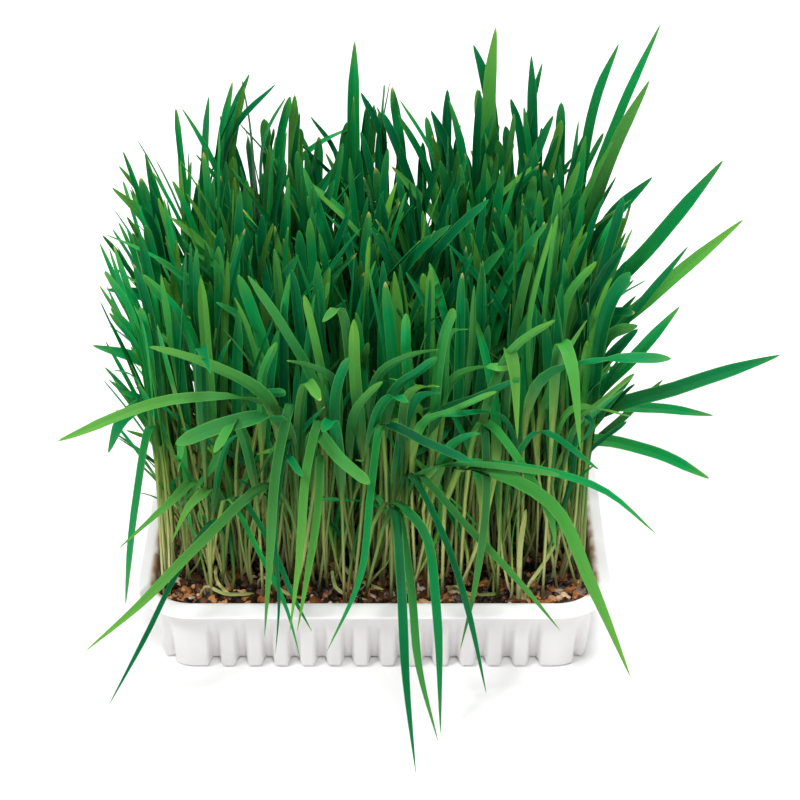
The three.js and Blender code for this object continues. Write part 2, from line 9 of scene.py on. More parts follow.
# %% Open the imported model
import math
import bmesh
import bpy
import numpy as np
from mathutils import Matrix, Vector


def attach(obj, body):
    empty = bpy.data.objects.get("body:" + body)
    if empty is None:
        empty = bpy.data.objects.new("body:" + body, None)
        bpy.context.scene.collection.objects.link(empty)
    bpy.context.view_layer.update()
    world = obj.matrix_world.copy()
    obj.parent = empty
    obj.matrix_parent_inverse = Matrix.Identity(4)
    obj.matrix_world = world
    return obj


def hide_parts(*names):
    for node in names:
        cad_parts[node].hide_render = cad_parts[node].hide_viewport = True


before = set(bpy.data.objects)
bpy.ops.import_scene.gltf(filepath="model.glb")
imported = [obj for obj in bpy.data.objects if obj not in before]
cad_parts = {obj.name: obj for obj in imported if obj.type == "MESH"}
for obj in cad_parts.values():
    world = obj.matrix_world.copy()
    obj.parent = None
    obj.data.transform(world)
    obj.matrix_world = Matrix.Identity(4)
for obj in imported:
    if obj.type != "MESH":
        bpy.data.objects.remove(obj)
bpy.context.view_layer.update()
MM = 0.001
print("nodes:", len(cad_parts))

# %% [markdown]
# ## Camera
# The picture was taken from in front of the tray and about thirty degrees above it, with
# a long lens, since the tray's sides hardly draw together. A long lens far away keeps
# the rim's proportions and looks down into the grass just as much.

# %% Place the camera
camera_data = bpy.data.cameras.new("camera")
camera_data.lens = 100.8
camera_data.sensor_width = 36
camera_data.clip_end = 20
camera = bpy.data.objects.new("camera", camera_data)
camera.location = (10.7 * MM, -808 * MM, 581.8 * MM)
camera.rotation_euler = (math.radians(59), 0, 0)
bpy.context.scene.collection.objects.link(camera)
bpy.context.scene.camera = camera
print("camera at", [round(value, 3) for value in camera.location])

# %% [markdown]
# ## Floor and light
# A bright, even studio: one wide pale floor, a white surrounding and three soft lights
# that come from far away, so that the floor is evenly white on every side. The strongest
# is nearly overhead, the key is high on the left and the weakest is in front. The leaves
# shade each other, and the leaf colour adds painted shade deep in the stand.

# %% Floor
bm = bmesh.new()
bmesh.ops.create_grid(bm, x_segments=1, y_segments=1, size=6)
floor_mesh = bpy.data.meshes.new("floor")
bm.to_mesh(floor_mesh)
bm.free()
floor = bpy.data.objects.new("floor", floor_mesh)
bpy.context.scene.collection.objects.link(floor)
floor.location = (0, 0, -0.0002)
floor_paint = bpy.data.materials.new("floor_paint")
floor_paint.use_nodes = True
floor_inputs = floor_paint.node_tree.nodes["Principled BSDF"].inputs
floor_inputs["Base Color"].default_value = (0.97, 0.97, 0.97, 1)
floor_inputs["Roughness"].default_value = 0.9
floor_inputs["Specular IOR Level"].default_value = 0.1
floor_mesh.materials.append(floor_paint)
print("floor:", tuple(round(side, 1) for side in floor.dimensions), "m")


# %% Lights
def soft_light(name, place, softness, strength):
    lamp = bpy.data.lights.new(name, "SUN")
    lamp.angle = math.radians(softness)
    lamp.energy = strength
    lamp_object = bpy.data.objects.new(name, lamp)
    lamp_object.location = place
    lamp_object.rotation_euler = Vector(place).to_track_quat("Z", "Y").to_euler()
    bpy.context.scene.collection.objects.link(lamp_object)


soft_light("key_light", (-0.8, -0.7, 1.5), 16, 1.55)
soft_light("front_light", (0.2, -1.0, 1.5), 19, 0.95)
soft_light("top_light", (0.2, 0.4, 1.6), 25, 2.2)
world = bpy.data.worlds.new("studio")
world.use_nodes = True
world.node_tree.nodes["Background"].inputs["Color"].default_value = (1, 1, 1, 1)
world.node_tree.nodes["Background"].inputs["Strength"].default_value = 0.28
bpy.context.scene.world = world
bpy.context.scene.view_settings.view_transform = "Standard"
print("lights:", [light.name for light in bpy.data.lights])

# %% [markdown]
# ## Seeded draws
# Grass looks alive because no two blades match. A random draw with a fixed seed gives
# that, and gives the same grass on every run. The solids were drawn by this same rule,
# so the fine blades grow where the solid ones stand. Only the long front blades root a
# little further in, so that their stems don't make a row.


# %% The draw
def draws_from(seed):
    state = [(seed * 2654435761) % 4294967296]

    def draw(low=0.0, high=1.0):
        state[0] = (state[0] * 1664525 + 1013904223) % 4294967296
        return low + (high - low) * (state[0] / 4294967296)

    return draw


# %% [markdown]
# ## Helpers for pieces and materials
# Each piece is one mesh object at the origin that rides on the model's only body. Each
# material is one Principled shader, whose colours come from attributes that the piece
# carries, such as how far up the blade a point lies.


# %% Make a piece from a bmesh
def add_piece(name, bm, material):
    for face in bm.faces:
        face.smooth = True
    mesh = bpy.data.meshes.new(name)
    bm.to_mesh(mesh)
    bm.free()
    piece = bpy.data.objects.new(name, mesh)
    bpy.context.scene.collection.objects.link(piece)
    mesh.materials.append(material)
    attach(piece, "root")
    return piece


# %% Helpers that wire a material
def shader_inputs(material):
    return material.node_tree.nodes["Principled BSDF"].inputs


def new_material(name, roughness, specular):
    material = bpy.data.materials.new(name)
    material.use_nodes = True
    shader_inputs(material)["Roughness"].default_value = roughness
    shader_inputs(material)["Specular IOR Level"].default_value = specular
    return material


def place_node(material, kind, **settings):
    node = material.node_tree.nodes.new(kind)
    for key, value in settings.items():
        setattr(node, key, value)
    return node


def link(material, source, target):
    material.node_tree.links.new(source, target)


def attribute(material, name):
    node = place_node(material, "ShaderNodeAttribute", attribute_type="GEOMETRY", attribute_name=name)
    return node.outputs["Fac"]


def maths(material, operation, *values):
    node = place_node(material, "ShaderNodeMath", operation=operation)
    for value, socket in zip(values, node.inputs):
        if isinstance(value, bpy.types.NodeSocket):
            link(material, value, socket)
        else:
            socket.default_value = value
    return node.outputs[0]


def bump(material, height, strength, distance):
    node = place_node(material, "ShaderNodeBump")
    node.inputs["Strength"].default_value = strength
    node.inputs["Distance"].default_value = distance
    link(material, height, node.inputs["Height"])
    link(material, node.outputs["Normal"], shader_inputs(material)["Normal"])


def ramp(material, value, stops):
    node = place_node(material, "ShaderNodeValToRGB")
    elements = node.color_ramp.elements
    for element, (position, colour) in zip(elements, (stops[0], stops[-1])):
        element.position = position
        element.color = (*colour, 1)
    for position, colour in stops[1:-1]:
        elements.new(position).color = (*colour, 1)
    link(material, value, node.inputs["Fac"])
    return node.outputs["Color"]


def mix(material, factor, first, second, blend="MIX"):
    node = place_node(material, "ShaderNodeMix", data_type="RGBA", blend_type=blend)
    # A colour Mix node keeps its factor at socket 0, its colours at 6 and 7, its result at 2
    for value, number in ((factor, 0), (first, 6), (second, 7)):
        socket = node.inputs[number]
        if isinstance(value, bpy.types.NodeSocket):
            link(material, value, socket)
        elif isinstance(value, tuple):
            socket.default_value = (*value, 1)
        else:
            socket.default_value = value
    return node.outputs[2]


# %% [markdown]
# ## Patchiness
# Plastic, bark and leaf all vary a little from place to place. One small node group
# gives a soft mask of patches at a chosen scale, and each material uses it its own way.

# %% Patches node group
patches = bpy.data.node_groups.new("patches", "ShaderNodeTree")
patches.interface.new_socket("Scale", in_out="INPUT", socket_type="NodeSocketFloat")
patches.interface.new_socket("Detail", in_out="INPUT", socket_type="NodeSocketFloat")
patches.interface.new_socket("Mask", in_out="OUTPUT", socket_type="NodeSocketFloat")
patches_in = patches.nodes.new("NodeGroupInput")
patches_out = patches.nodes.new("NodeGroupOutput")
patches_place = patches.nodes.new("ShaderNodeTexCoord")
patches_noise = patches.nodes.new("ShaderNodeTexNoise")
patches_spread = patches.nodes.new("ShaderNodeMapRange")
patches_spread.inputs["From Min"].default_value = 0.32
patches_spread.inputs["From Max"].default_value = 0.68
patches.links.new(patches_place.outputs["Object"], patches_noise.inputs["Vector"])
patches.links.new(patches_in.outputs["Scale"], patches_noise.inputs["Scale"])
patches.links.new(patches_in.outputs["Detail"], patches_noise.inputs["Detail"])
patches.links.new(patches_noise.outputs["Fac"], patches_spread.inputs["Value"])
patches.links.new(patches_spread.outputs["Result"], patches_out.inputs["Mask"])


def patch_mask(material, scale, detail=2.0):
    node = place_node(material, "ShaderNodeGroup", node_tree=patches)
    node.inputs["Scale"].default_value = scale
    node.inputs["Detail"].default_value = detail
    return node.outputs["Mask"]


# %% [markdown]
# ## Tray plastic
# The tray is thin white plastic with a soft sheen and a faint grey shade in its hollows.
# The wall under the rim is painted a warm grey while the rim stays white. This is painted
# shade for the rim's overhang, and also the dark mix behind the thin plastic showing
# through. So the piece carries a value that is 1 below the rim, where mix lies behind.
# Damp mix has also stained the
# inside of the wall brown above the granules, and over the top of the rim on the short
# sides. A second value carries that.

# %% White plastic
plastic = new_material("white_plastic", 0.35, 0.6)
plastic_colour = mix(plastic, patch_mask(plastic, 60), (0.93, 0.92, 0.915), (0.955, 0.95, 0.945))
# Painted shade: the wall under the rim is greyed for the rim's overhang, and also for the dark mix
# behind the thin plastic
plastic_colour = mix(plastic, attribute(plastic, "backing_and_shade"), plastic_colour, (0.81, 0.785, 0.785))
stain_edge = mix(plastic, patch_mask(plastic, 260, 4), (0.30, 0.15, 0.08), (0.5, 0.33, 0.24))
stain_spread = ramp(plastic, patch_mask(plastic, 110, 4), [(0.1, (0.4, 0.4, 0.4)), (0.6, (1, 1, 1))])
stain_share = maths(plastic, "MULTIPLY", attribute(plastic, "stain"), stain_spread)
plastic_stained = mix(plastic, stain_share, plastic_colour, stain_edge)
link(plastic, plastic_stained, shader_inputs(plastic)["Base Color"])
print("plastic nodes:", len(plastic.node_tree.nodes))

# %% [markdown]
# ## Tray
# A tray like this is drawn from one hot sheet over a mould, so every face runs into the
# next. It could be cut from a block, but one long strip is closer to how it is made: a
# ring starts under the tray, and is extruded up the outside, over the rolled rim and
# down the inside. The flutes are a smooth dip in that ring, deepest at the foot and gone
# just under the rim, with one in each corner.

# %% Tray sizes, in millimetres
BASE_HALF_X, BASE_HALF_Y, HEIGHT, DRAFT, BASE_CORNER = 90, 58, 35.3, 3, 15
STRAIGHT_X, STRAIGHT_Y = BASE_HALF_X - BASE_CORNER, BASE_HALF_Y - BASE_CORNER
FLUTE_PITCH, FLUTE_DEPTH, FLUTE_TOP, FLUTE_HALF = 11.15, 6.6, 27, 2.15
# The wall is painted in shade up to just under the rim
STAINED_FROM_X, SHADED_WALL_TOP = 88, 32

# Each side: the way it runs, the way it faces, how far out it is, half its length, flutes
SIDES = [
    ((1, 0), (0, -1), BASE_HALF_Y, STRAIGHT_X, 13),
    ((0, 1), (1, 0), BASE_HALF_X, STRAIGHT_Y, 7),
    ((-1, 0), (0, 1), BASE_HALF_Y, STRAIGHT_X, 13),
    ((0, -1), (-1, 0), BASE_HALF_X, STRAIGHT_Y, 7),
]
print("tray's foot:", 2 * BASE_HALF_X, "by", 2 * BASE_HALF_Y, "mm")


# %% Where a ring of the wall runs
def flute_dip(distance, inset):
    half = FLUTE_HALF + 0.8 * max(0, inset)
    soft = min(1, max(0, (half + 0.85 - distance) / 1.7))
    return soft * soft * (3 - 2 * soft)


def wall_ring(z, inset, step=0.75, corner_steps=32):
    slope = DRAFT * z / HEIGHT
    radius = BASE_CORNER + slope - inset
    fade = max(0, 1 - z / FLUTE_TOP)
    depth = FLUTE_DEPTH * fade * min(1, 0.55 + 1.6 * fade)
    points = []
    for along_axis, out_axis, reach, half, flutes in SIDES:
        places = []
        count = round(2 * half / step)
        for k in range(count):
            along = -half + 2 * half * k / count
            nearest = round(along / FLUTE_PITCH)
            nearest = max(-(flutes // 2), min(flutes // 2, nearest))
            dip = flute_dip(abs(along - nearest * FLUTE_PITCH), inset)
            places.append((along, reach + slope - inset - depth * dip))
        for k in range(corner_steps):
            angle = math.pi / 2 * k / corner_steps
            dip = flute_dip(abs(angle - math.pi / 4) * BASE_CORNER, inset)
            pull = radius - 0.7 * depth * dip
            out = reach + slope - inset - radius + pull * math.cos(angle)
            places.append((half + pull * math.sin(angle), out))
        for along, out in places:
            points.append((
                along_axis[0] * along + out_axis[0] * out,
                along_axis[1] * along + out_axis[1] * out,
                z,
            ))
    return points


# %% Grow a ring by extruding it, and keep its points in order
def ring_edges(bm, ring):
    return [bm.edges.get((ring[k - 1], ring[k])) for k in range(len(ring))]


def grown_ring(bm, ring):
    grown = bmesh.ops.extrude_edge_only(bm, edges=ring_edges(bm, ring))["geom"]
    fresh = {item for item in grown if isinstance(item, bmesh.types.BMVert)}

    def risen(old):
        return next(edge.other_vert(old) for edge in old.link_edges if edge.other_vert(old) in fresh)

    return [risen(old) for old in ring]


def move_ring(ring, places):
    for vert, place in zip(ring, places):
        vert.co = Vector(place) * MM


def close_ring(bm, ring):
    bmesh.ops.edgeloop_fill(bm, edges=ring_edges(bm, ring))


# %% Extrude the wall ring by ring, each at its height and its distance in from the wall's face
outside = [(0, 1.6), (0.2, 0.8), (0.6, 0.3), (1.3, 0.05), (2.2, 0)] + [(z, 0) for z in range(4, 31, 2)]
under_rim = [(31.2, 0), (31.6, -0.5), (31.6, -1.4), (31.3, -5.2), (31.4, -5.8), (31.7, -6.2)]
outer_edge = [(32.1, -6.3), (32.5, -6.2), (32.8, -5.8)]
over_rim = [(33.3, -4.9), (34.1, -3.4), (34.7, -2.2), (35.1, -1.3), (35.3, -0.5)]
inner_lip = [(35.25, 0.1), (34.9, 0.6), (34.2, 1.0), (33, 1.2), (31.5, 1.2), (30, 1.2), (28.5, 1.2)]
inside = [(z, 1.2) for z in range(26, 2, -3)] + [(1.2, 1.2)]
levels = outside + under_rim + outer_edge + over_rim + inner_lip + inside
rim_start = len(outside) + len(under_rim) + 1
bm = bmesh.new()
stain_layer = bm.verts.layers.float.new("stain")
backing_and_shade_layer = bm.verts.layers.float.new("backing_and_shade")
points_round = len(wall_ring(0, 0))
ring = list(bmesh.ops.create_circle(bm, segments=points_round, radius=1)["verts"])
move_ring(ring, wall_ring(*levels[0]))
close_ring(bm, ring)
for level, (z, inset) in enumerate(levels[1:], start=1):
    ring = grown_ring(bm, ring)
    move_ring(ring, wall_ring(z, inset))
    for vert in ring:
        short_side = abs(vert.co.x) > STAINED_FROM_X * MM
        stain = (inset + 1.7) / 1.6 if short_side else (inset - 0.5) / 0.7
        # Below the rim the wall gets painted shade for the rim's overhang, together with the dark mix
        # behind the thin plastic
        backing_and_shade = (SHADED_WALL_TOP - z) / 2
        vert[stain_layer] = min(1, max(0, stain)) if level >= rim_start else 0
        vert[backing_and_shade_layer] = min(1, max(0, backing_and_shade)) if level < rim_start else 0
close_ring(bm, ring)
bmesh.ops.recalc_face_normals(bm, faces=bm.faces)
print("tray faces:", len(bm.faces))
tray = add_piece("fine_tray", bm, plastic)
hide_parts("tray")

# %% [markdown]
# ## Growing mix
# The tray is filled with damp bark and vermiculite: angular grains of two to four
# millimetres, dark brown to rusty orange, with a few pale grains that are partly painted
# glints. A flat texture would not stand up to a close look, so a bed painted near black,
# as painted shade between the grains, fills the tray and thousands of loose grains lie on
# it, each one a small lump that is squashed and turned its own way.

# %% Grain material
grain = new_material("damp_grains", 0.36, 0.55)
grain_tone = ramp(grain, attribute(grain, "tone"), [
    # Near black, darker than damp bark: painted shade, mostly on the bed between the grains
    (0.0, (0.004, 0.002, 0.0015)),
    (0.3, (0.028, 0.011, 0.006)),
    (0.55, (0.21, 0.07, 0.024)),
    (0.76, (0.66, 0.25, 0.07)),
    (0.92, (0.85, 0.5, 0.24)),
    # Near white: pale grains, partly painted glints
    (1.0, (1.0, 0.9, 0.76)),
])
damp_tone = mix(grain, 0.35, grain_tone, (0.03, 0.012, 0.006))
grain_colour = mix(grain, patch_mask(grain, 700, 3), grain_tone, damp_tone)
link(grain, grain_colour, shader_inputs(grain)["Base Color"])
bump(grain, patch_mask(grain, 1500, 3), 0.3, 0.0002)
print("grain nodes:", len(grain.node_tree.nodes))

# %% Bed under the grains
SOIL_TOP, BED_TOP, BED_INSET = 28, 25.8, 1.5
chance = np.random.default_rng(3)
bm = bmesh.new()
tone_layer = bm.verts.layers.float.new("tone")
bed_steps = {"step": 3, "corner_steps": 8}
ring = list(bmesh.ops.create_circle(bm, segments=len(wall_ring(0, 0, **bed_steps)), radius=1)["verts"])
move_ring(ring, wall_ring(1.5, BED_INSET, **bed_steps))
close_ring(bm, ring)
for z in (10, 20, 25.4):
    ring = grown_ring(bm, ring)
    move_ring(ring, wall_ring(z, BED_INSET, **bed_steps))
rim_of_bed = wall_ring(BED_TOP, 1.6, **bed_steps)
for share in np.linspace(0.97, 0.03, 22):
    ring = grown_ring(bm, ring)
    lumps = chance.uniform(-0.8, 0.8, len(ring))
    move_ring(ring, [(x * share, y * share, z + lump) for (x, y, z), lump in zip(rim_of_bed, lumps)])
close_ring(bm, ring)
bmesh.ops.recalc_face_normals(bm, faces=bm.faces)
# The bed takes the darkest tones, near black: painted shade for the gaps between the grains
for vert in bm.verts:
    vert[tone_layer] = chance.uniform(0.0, 0.1)
print("bed faces:", len(bm.faces))
bed = add_piece("mix_bed_in_painted_shade", bm, grain)
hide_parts("soil")


# %% Copies of one small shape, all in one piece
def copies_piece(name, template, count, coordinates, attributes, material):
    bm = bmesh.new()
    for _ in range(count):
        bm.from_mesh(template)
    piece = add_piece(name, bm, material)
    mesh = piece.data
    mesh.vertices.foreach_set("co", (coordinates * MM).astype(np.float32).ravel())
    for key, values in attributes.items():
        layer = mesh.attributes.new(key, "FLOAT", "POINT")
        layer.data.foreach_set("value", values.astype(np.float32).ravel())
    mesh.update()
    return piece


def lump_template(name, cuts, roughness, seed):
    bm = bmesh.new()
    bmesh.ops.create_cube(bm, size=1.5)
    bmesh.ops.subdivide_edges(bm, edges=bm.edges, cuts=cuts, use_grid_fill=True)
    shaking = np.random.default_rng(seed)
    for vert in bm.verts:
        vert.co = vert.co.lerp(vert.co.normalized(), 0.6) * (1 + shaking.uniform(-roughness, roughness))
    for edge in bm.edges:
        edge.smooth = False
    mesh = bpy.data.meshes.new(name)
    bm.to_mesh(mesh)
    bm.free()
    return mesh


# %% Scatter the grains
GRAIN_STRETCH = ((0.9, 1.5), (0.6, 1.0), (0.5, 0.9))


def turn_matrices(chance, count):
    spin = chance.uniform(0, 2 * np.pi, count)
    tilt = chance.uniform(-0.7, 0.7, count)
    roll = chance.uniform(-0.7, 0.7, count)
    turns = np.zeros((count, 3, 3))
    for k in range(count):
        cz, cx, cy = np.cos([spin[k], tilt[k], roll[k]])
        sz, sx, sy = np.sin([spin[k], tilt[k], roll[k]])
        about_z = np.array([[cz, -sz, 0], [sz, cz, 0], [0, 0, 1]])
        about_x = np.array([[1, 0, 0], [0, cx, -sx], [0, sx, cx]])
        about_y = np.array([[cy, 0, sy], [0, 1, 0], [-sy, 0, cy]])
        turns[k] = about_z @ about_x @ about_y
    return turns


def scatter_grains(name, template, places, sizes, tones, seed):
    chance = np.random.default_rng(seed)
    count = len(places)
    shape = np.array([vert.co for vert in template.vertices])
    stretch = np.stack([chance.uniform(low, high, count) for low, high in GRAIN_STRETCH], axis=1)
    lumps = shape[None] * (1 + chance.uniform(-0.12, 0.12, (count, len(shape), 1)))
    lumps = lumps * (stretch * sizes[:, None])[:, None]
    lumps = np.einsum("nij,nkj->nki", turn_matrices(chance, count), lumps) + places[:, None]
    tone = np.repeat(tones, len(shape))
    return copies_piece(name, template, count, lumps.reshape(-1, 3), {"tone": tone}, grain)


GRAINS, FRONT_GRAINS, FRONT_STRIP = 3600, 700, -34
MIX_HALF_X, MIX_HALF_Y = 89.6, 57.6


def soil_spots(count, seed, lowest, highest, front_only=False):
    chance = np.random.default_rng(seed)
    spots = []
    while len(spots) < count:
        x, y = chance.uniform(-MIX_HALF_X, MIX_HALF_X), chance.uniform(-MIX_HALF_Y, MIX_HALF_Y)
        if front_only and y > FRONT_STRIP:
            continue
        corner = math.hypot(max(0, abs(x) - STRAIGHT_X), max(0, abs(y) - STRAIGHT_Y))
        if corner < BASE_CORNER - 0.6:
            spots.append((x, y, chance.uniform(lowest, highest)))
    return np.array(spots)


fine_lump = lump_template("fine_lump", 2, 0.14, 5)
plain_lump = lump_template("plain_lump", 1, 0.2, 6)
chance = np.random.default_rng(11)
spots = soil_spots(GRAINS, 12, 26.4, 28.6)
breadths, tones = chance.uniform(1.0, 2.1, GRAINS), chance.beta(0.8, 1.2, GRAINS)
scatter_grains("grains", plain_lump, spots, breadths, tones, 13)
spots = soil_spots(FRONT_GRAINS, 14, 27.6, 30.4, front_only=True)
breadths, tones = chance.uniform(1.3, 2.7, FRONT_GRAINS), chance.beta(0.7, 0.95, FRONT_GRAINS)
scatter_grains("front_grains", fine_lump, spots, breadths, tones, 15)
print("grains:", GRAINS + FRONT_GRAINS)

# %% [markdown]
# ## Leaf material
# Young wheat is pale straw where it leaves the ground, yellow-green up the stem and deep
# emerald in the leaf, which grows lighter toward its tip. That darker lower leaf is partly
# its colour and partly painted shade, where it lies deep in the stand. The leaf's edges
# carry a painted highlight. Some leaves turn lime in their
# outer part, and a few are dry at the very tip. All of that runs along or between blades,
# so it is painted from what each blade carries: how far along a point is, how far across
# it is, and how light, lime and dry the blade is.

# %% Green leaf
leaf = new_material("wheat_leaf", 0.42, 0.1)
leaf_along = attribute(leaf, "along")
leaf_tone = attribute(leaf, "tone")
# Darkest just above the stem and lightest at the tip: partly the leaf's colour, partly painted shade
# where the leaf lies deep in the stand
deep_green_and_painted_shade = ramp(leaf, leaf_along, [
    (0.0, (0.36, 0.36, 0.14)),
    (0.14, (0.28, 0.34, 0.085)),
    (0.3, (0.1, 0.22, 0.04)),
    (0.46, (0.002, 0.062, 0.013)),
    (0.65, (0.0002, 0.06, 0.02)),
    (0.95, (0.0002, 0.14, 0.046)),
    (1.0, (0.002, 0.23, 0.06)),
])
fresh = ramp(leaf, leaf_along, [
    (0.0, (0.85, 0.76, 0.45)),
    (0.2, (0.76, 0.72, 0.27)),
    (0.42, (0.42, 0.56, 0.11)),
    (0.58, (0.014, 0.27, 0.032)),
    (0.9, (0.004, 0.36, 0.08)),
    (1.0, (0.12, 0.4, 0.05)),
])
green = mix(leaf, leaf_tone, deep_green_and_painted_shade, fresh)
leaf_across = attribute(leaf, "across")
from_rib = maths(leaf, "ABSOLUTE", leaf_across)
# Painted highlight: the leaf's edges are painted a paler yellow-green
painted_edge_highlight = ramp(leaf, from_rib, [(0.8, (0, 0, 0)), (0.98, (0.45, 0.45, 0.45))])
green = mix(leaf, painted_edge_highlight, green, (0.12, 0.5, 0.09))
green = mix(leaf, patch_mask(leaf, 70, 2), green, mix(leaf, 0.35, green, (0.001, 0.2, 0.058)))
lime_part = ramp(leaf, leaf_along, [(0.5, (0, 0, 0)), (0.92, (1, 1, 1))])
limeness = maths(leaf, "MULTIPLY", lime_part, attribute(leaf, "lime"))
green = mix(leaf, limeness, green, (0.17, 0.43, 0.04))
dry_tip = ramp(leaf, leaf_along, [(0.98, (0, 0, 0)), (0.997, (1, 1, 1))])
dryness = maths(leaf, "MULTIPLY", dry_tip, attribute(leaf, "dry"))
leaf_colour = mix(leaf, dryness, green, (0.6, 0.52, 0.16))
link(leaf, leaf_colour, shader_inputs(leaf)["Base Color"])
veins = maths(leaf, "SINE", maths(leaf, "MULTIPLY", leaf_across, 34))
bump(leaf, veins, 0.25, 0.00012)
print("leaf nodes:", len(leaf.node_tree.nodes))

# %% [markdown]
# ## One blade
# A wheat blade is a round stem that opens into a long leaf, folded a little along its
# midrib. One straight blade is extruded from a four-point ring: two points are the
# leaf's edges, one lies in the fold and one on the rib behind. Copies of it are then
# laid along their own paths, where the ring is a small round stem low down and a wide
# thin fold higher up. The edges, the fold and the rib are marked sharp once the leaf
# begins. A fringe leaf that arches over turns its upper face outward to the light.

# %% Straight blade
LEAF_PLACES = np.array([
    0, 0.1, 0.2, 0.3, 0.38, 0.45, 0.52, 0.6, 0.68, 0.76, 0.84, 0.91, 0.955, 0.98, 0.993, 1.0])
LONG_PLACES = np.concatenate([
    np.linspace(0, 0.3, 4), np.linspace(0.35, 0.9, 13), [0.93, 0.955, 0.975, 0.99, 1.0]])
LEAF_START = 0.42


def straight_blade(name, places):
    bm = bmesh.new()
    ring = list(bmesh.ops.create_circle(bm, segments=4, radius=1, cap_ends=True)["verts"])
    for level in range(1, len(places)):
        older, ring = ring, grown_ring(bm, ring)
        for vert in ring:
            vert.co.z = level
        for corner in range(4):
            bm.edges.get((older[corner], ring[corner])).smooth = places[level] < LEAF_START
    close_ring(bm, ring)
    bmesh.ops.recalc_face_normals(bm, faces=bm.faces)
    mesh = bpy.data.meshes.new(name)
    bm.to_mesh(mesh)
    bm.free()
    return mesh


short_template = straight_blade("straight_blade", LEAF_PLACES)
long_template = straight_blade("long_straight_blade", LONG_PLACES)
print("faces of one blade:", len(short_template.polygons), "and", len(long_template.polygons))


# %% Widths along a blade, in millimetres
STEM_HALF_THICK, LEAF_HALF_THICK, FOLD = 0.8, 0.22, 0.3
SLIMMEST = 0.02


def eased(value):
    value = np.clip(value, 0, 1)
    return value * value * (3 - 2 * value)


def width_rule(start, full, tip):
    """A stem that opens into a leaf between two places, with a tip that is blunt when short."""
    def widths(t, stem, broad):
        opening = eased((t - start) / (full - start))
        narrowing = 1 - 0.15 * eased((t - 0.65) / 0.35)
        rounding = np.clip((1 - t) / tip, 0, 1) ** (0.45 + tip)
        return (stem + (broad - stem) * opening) * narrowing * np.maximum(rounding, SLIMMEST), opening
    return widths


# %% Lay a blade along its path
def laid_blade(path, rule, stem, broad, face, twist, places=LEAF_PLACES, sunward=None):
    centres = path(places)
    along = path(places + 0.01) - path(places - 0.01)
    along /= np.linalg.norm(along, axis=1)[:, None]
    widths, opening = rule(places, stem, broad)
    across = np.array([math.cos(math.radians(face)), math.sin(math.radians(face)), 0])
    rings = np.zeros((len(places), 4, 3))
    for k in range(len(places)):
        across = across - along[k] * across.dot(along[k])
        across /= np.linalg.norm(across)
        angle = twist * places[k]
        side = across * math.cos(angle) + np.cross(along[k], across) * math.sin(angle)
        if sunward is not None:
            turned = 0.85 * eased((0.7 - along[k, 2]) / 0.9)
            side = side * (1 - turned) + np.cross(along[k], sunward) * turned
            side -= along[k] * side.dot(along[k])
            side /= np.linalg.norm(side)
        back = np.cross(side, along[k])
        half, leafy = widths[k] / 2, opening[k]
        thick = STEM_HALF_THICK * (1 - leafy) + LEAF_HALF_THICK * leafy
        thick *= min(1, half / STEM_HALF_THICK)
        fold = FOLD * half * leafy
        rings[k, 0] = centres[k] + side * half + back * fold
        rings[k, 1] = centres[k] + back * thick * (1 - 0.6 * leafy)
        rings[k, 2] = centres[k] - side * half + back * fold
        rings[k, 3] = centres[k] - back * thick
    leaf_start = places[np.argmax(opening > 0.5)]
    stem_part = 0.5 * np.minimum(places / leaf_start, 1)
    leaf_part = 0.5 * np.maximum((places - leaf_start) / (1 - leaf_start), 0)
    return rings, stem_part + leaf_part


# %% Many blades as one piece
ACROSS = np.array([1.0, 0.0, -1.0, 0.0])
DRY_SHARE, LIME_SHARE, FRONT_LIME_SHARE = 0.12, 0.24, 0.6
CARRIED = ("along", "across", "tone", "dry", "lime")


def blades_piece(name, blades, chance, template, lime_share=LIME_SHARE):
    places = np.array([vert.co for vert in template.vertices])
    level = np.round(places[:, 2]).astype(int)
    corner = np.round(np.arctan2(places[:, 1], places[:, 0]) / (np.pi / 2)).astype(int) % 4
    coordinates, carried = [], {key: [] for key in CARRIED}
    for (rings, progress), shade in blades:
        dry = chance.uniform(0.6, 1) if chance.uniform() < DRY_SHARE else 0
        lime = chance.uniform(0.2, 0.7) if chance.uniform() < lime_share else 0
        whole = np.ones(len(level))
        coordinates.append(rings[level, corner])
        values = (progress[level], ACROSS[corner], shade * whole, dry * whole, lime * whole)
        for key, value in zip(CARRIED, values):
            carried[key].append(value)
    carried = {key: np.concatenate(values) for key, values in carried.items()}
    coordinates = np.concatenate(coordinates)
    return copies_piece(name, template, len(blades), coordinates, carried, leaf)


# %% [markdown]
# ## Field of upright tufts
# Seedlings stand a few millimetres apart, all about as tall as each other, and lean a
# little. The solids hold twelve blades for each tuft. The same twelve are laid here
# by the same draws. Between them grow twenty-six more seedlings for each tuft, thinner
# ones with three leaves each, so that the stand is as dense as the real one.

# %% Field rule, as in the solids
COLUMNS, ROWS, CELL_X, CELL_Y, FIELD_Y = 5, 3, 33, 31, 2.5
BLADES_PER_TUFT, SEEDLINGS_PER_TUFT, SUNK, ROOT_LIMIT, FOOT = 12, 26, 4, 87.6, 0.08


def leaning_path(x, y, tip_x, tip_y, rise, bend, slope=(0, 0), kick=(0, 0)):
    # The kick moves the foot of the stem aside, but never past the wall
    kick = (np.clip(kick[0], x - ROOT_LIMIT, x + ROOT_LIMIT), kick[1])

    def path(t):
        lean = np.maximum(t, 0) ** bend
        foot = np.exp(-np.maximum(t, 0) / FOOT)
        return np.stack([
            x + slope[0] * t + (tip_x - x - slope[0]) * lean - kick[0] * foot,
            y + slope[1] * t + (tip_y - y - slope[1]) * lean - kick[1] * foot,
            SOIL_TOP - SUNK + (rise + SUNK) * t,
        ], axis=1)
    return path


